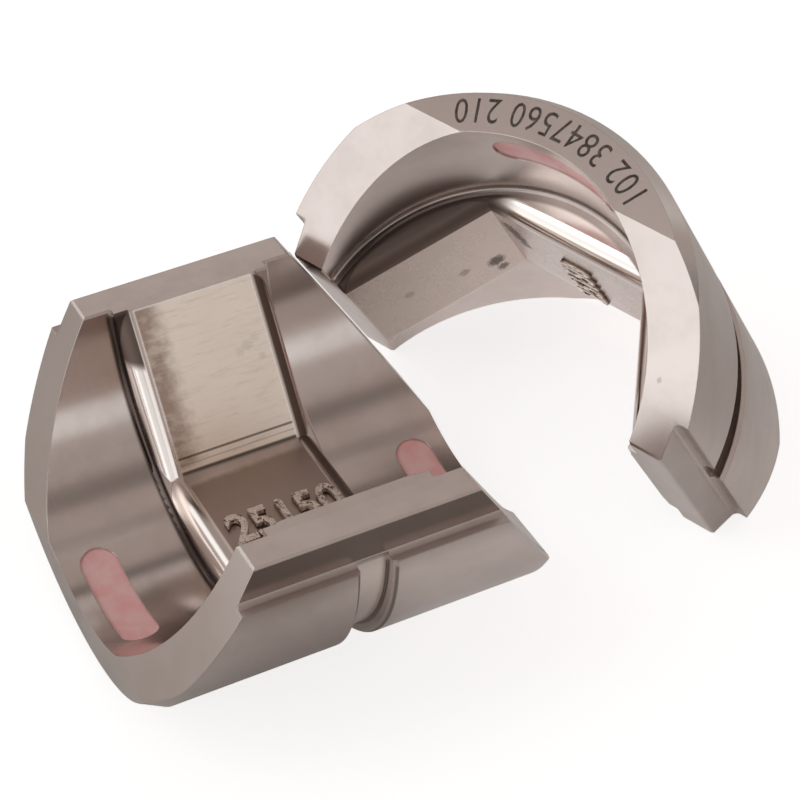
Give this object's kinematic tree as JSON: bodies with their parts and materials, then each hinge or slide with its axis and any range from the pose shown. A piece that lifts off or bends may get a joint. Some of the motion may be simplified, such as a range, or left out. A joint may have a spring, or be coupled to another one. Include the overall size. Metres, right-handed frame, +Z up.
{
  "type": "compression die",
  "caption": "Pair of matched half dies for a crimping head: round grooved backs, stepped shoulders, bevelled sides, a hexagonal nest on a central rib, and pink colour slots.",
  "frame": {"origin": "the point where the lower half's round back touches the floor, midway along its width", "axes": "+Z up, +Y along the lower half's nest towards the upper half, +X across the lower half's jaw"},
  "size_m": [0.0445, 0.0624, 0.0312],
  "materials": {
    "plated_steel": "nickel-plated machined steel, satin with fine turning and milling marks",
    "pink_enamel": "brushed-on enamel, slightly glossy"
  },
  "bodies": {
    "root": {"lower_half": "plated_steel", "upper_half": "plated_steel", "lower_colour_marks": "pink_enamel", "upper_colour_marks": "pink_enamel"}
  },
  "joints": []
}
